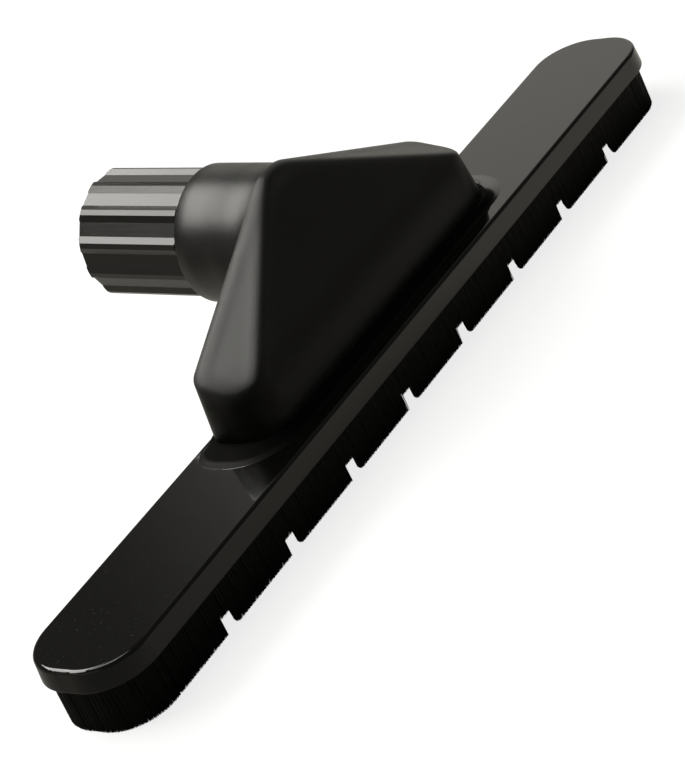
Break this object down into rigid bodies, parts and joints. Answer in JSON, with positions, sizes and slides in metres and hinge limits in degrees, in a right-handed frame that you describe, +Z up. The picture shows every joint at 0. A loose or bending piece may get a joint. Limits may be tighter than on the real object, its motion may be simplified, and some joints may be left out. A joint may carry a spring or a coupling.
{
  "type": "vacuum cleaner floor brush nozzle",
  "caption": "Long narrow hard-floor brush nozzle for a vacuum wand, with a notched bristle skirt under a rounded plate, a peaked hood and a ribbed round cuff.",
  "frame": {"origin": "centre of the bounding box at floor level, the plane of the bristle tips", "axes": "+X along the nozzle, +Y towards the neck and cuff (the wand leaves that way, 3.7 degrees above level), +Z up from the floor"},
  "size_m": [0.3548, 0.1131, 0.083],
  "materials": {
    "plate": "high gloss black moulding",
    "hood": "satin black moulding",
    "cuff": "semi-gloss black moulding",
    "screw_steel": "zinc-plated steel",
    "bristle": "black nylon filament",
    "strip_steel": "galvanised sheet steel",
    "wire_steel": "bright drawn wire"
  },
  "bodies": {
    "root": {"base_plate": "plate", "hood": "hood", "cuff": "cuff", "hood_screws": "screw_steel", "front_bristles": "bristle", "front_channel": "strip_steel", "front_core_wire": "wire_steel", "rear_bristles": "bristle", "rear_channel": "strip_steel", "rear_core_wire": "wire_steel", "left_end_bristles": "bristle", "left_end_channel": "strip_steel", "left_end_core_wire": "wire_steel", "right_end_bristles": "bristle", "right_end_channel": "strip_steel", "right_end_core_wire": "wire_steel"}
  },
  "joints": []
}
